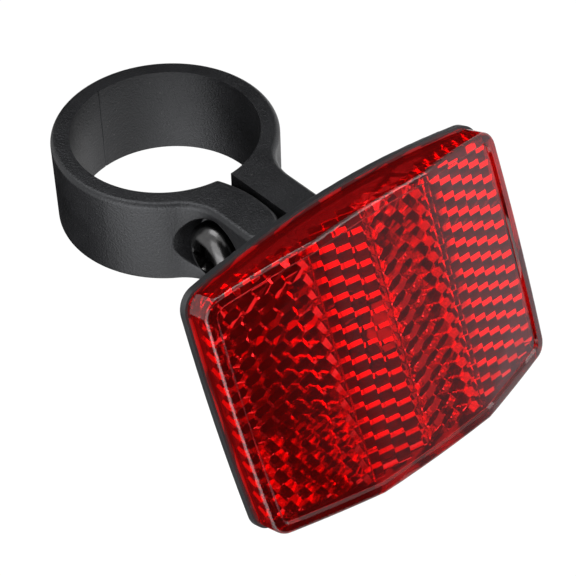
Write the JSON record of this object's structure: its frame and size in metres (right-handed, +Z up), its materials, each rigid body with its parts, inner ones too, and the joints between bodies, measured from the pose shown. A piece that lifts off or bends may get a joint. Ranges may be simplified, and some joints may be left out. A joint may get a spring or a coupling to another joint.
{
  "type": "bicycle rear reflector",
  "caption": "Red rear reflector with corner-cube lens, on an arm from a black split post clamp closed by a cross-recess screw.",
  "frame": {"origin": "centre of the post clamp's bore, at the middle of the clamp's height", "axes": "+Z up the post along the bore, -Y to the rear where the reflector faces, +X to the right for someone who looks at the reflector"},
  "size_m": [0.058, 0.0794, 0.0436],
  "materials": {
    "bracket": "satin, fine grain",
    "plate": "satin",
    "lens": "clear, polished",
    "screw": "black oxide",
    "zinc": "zinc plated"
  },
  "bodies": {
    "root": {"bracket_arm": "bracket", "clamp_jaw": "bracket", "clamp_screw": "screw", "screw_washer": "zinc", "clamp_nut": "zinc", "back_plate": "plate", "lens": "lens", "mounting_bolt": "zinc", "mounting_washer": "zinc", "mounting_nut": "zinc"}
  },
  "joints": []
}
